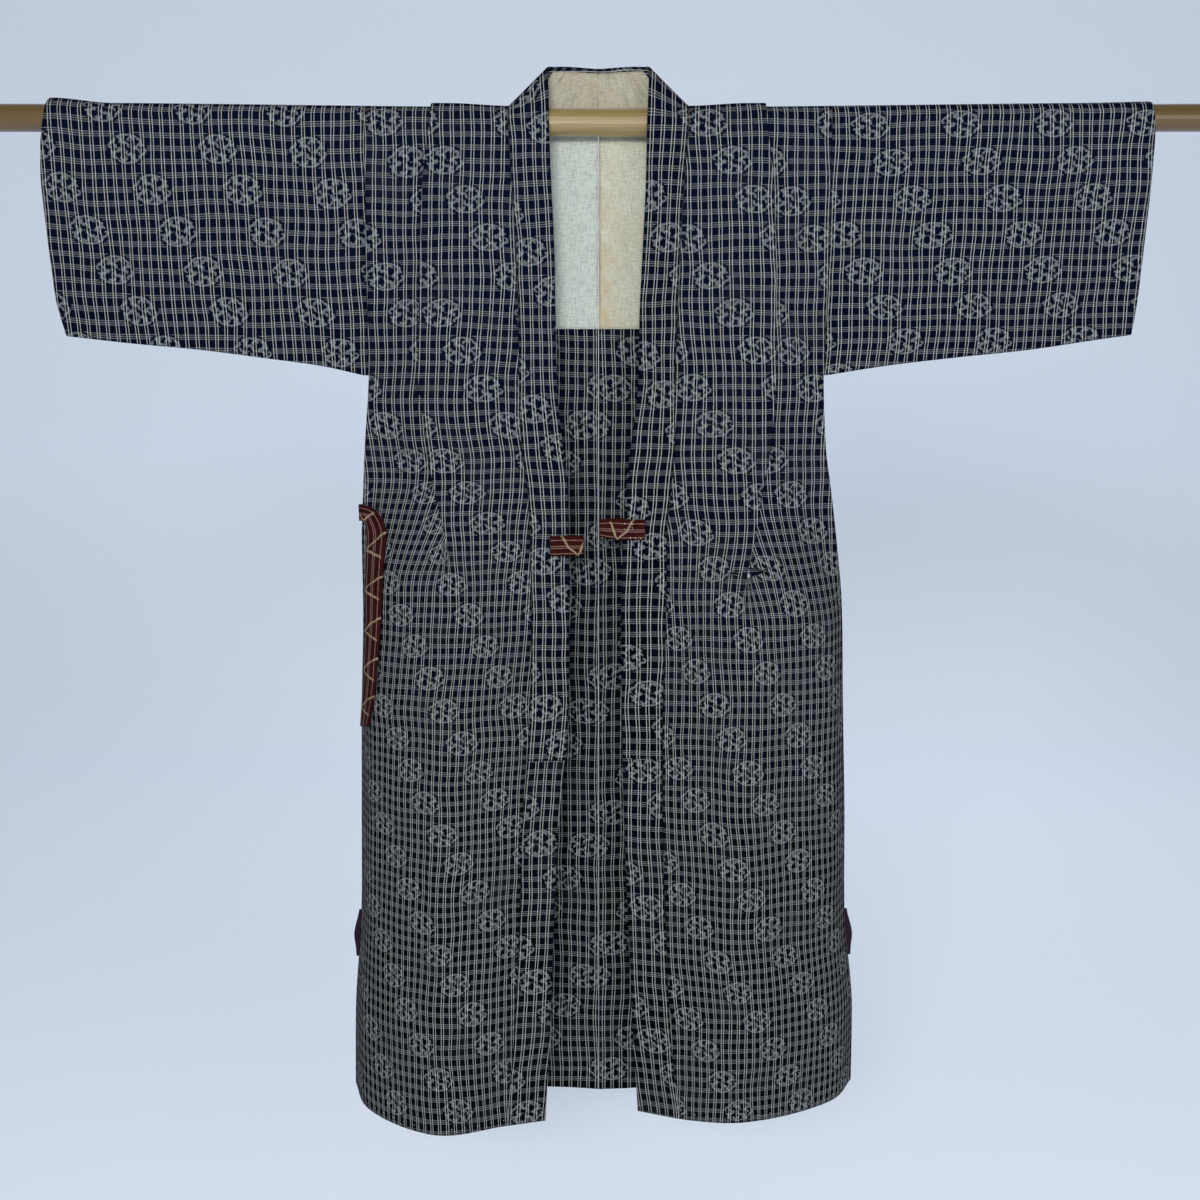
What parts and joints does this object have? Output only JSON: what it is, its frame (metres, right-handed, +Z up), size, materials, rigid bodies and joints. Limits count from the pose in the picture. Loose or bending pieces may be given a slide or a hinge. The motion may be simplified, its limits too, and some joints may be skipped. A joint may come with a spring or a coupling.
{
  "type": "child kimono on a wooden rod",
  "caption": "Child's unlined cotton kimono in dark blue check with pale roundels, hung open at the front on a wooden rod that runs through both sleeves.",
  "frame": {"origin": "middle of the wooden rod, where it holds the garment up", "axes": "+X along the rod to the right as seen from the front, +Y from the front of the garment to its back, +Z up"},
  "size_m": [1.3, 0.1225, 1.1923],
  "materials": {
    "varnished_wood": "pale golden wood, satin varnish",
    "check_cotton": "dark indigo plain-weave cotton with a fine whitish check and woven roundels",
    "white_cotton": "off-white open plain-weave cotton",
    "cream_cotton": "cream plain-weave cotton, softly aged",
    "maroon_cotton": "maroon cotton with fine tan stripes and slanting streaks",
    "plum_cotton": "dark plum plain cotton"
  },
  "bodies": {
    "root": {"rod": "varnished_wood", "body_left": "check_cotton", "body_right": "check_cotton", "sleeve_left": "check_cotton", "sleeve_right": "check_cotton", "collar": "check_cotton", "overlap_left": "check_cotton", "overlap_right": "check_cotton", "collar_lining": "cream_cotton", "shoulder_lining_left": "white_cotton", "shoulder_lining_right": "cream_cotton", "tie_left": "maroon_cotton", "tie_right": "maroon_cotton", "side_tab_left": "plum_cotton", "side_tab_right": "plum_cotton"}
  },
  "joints": []
}
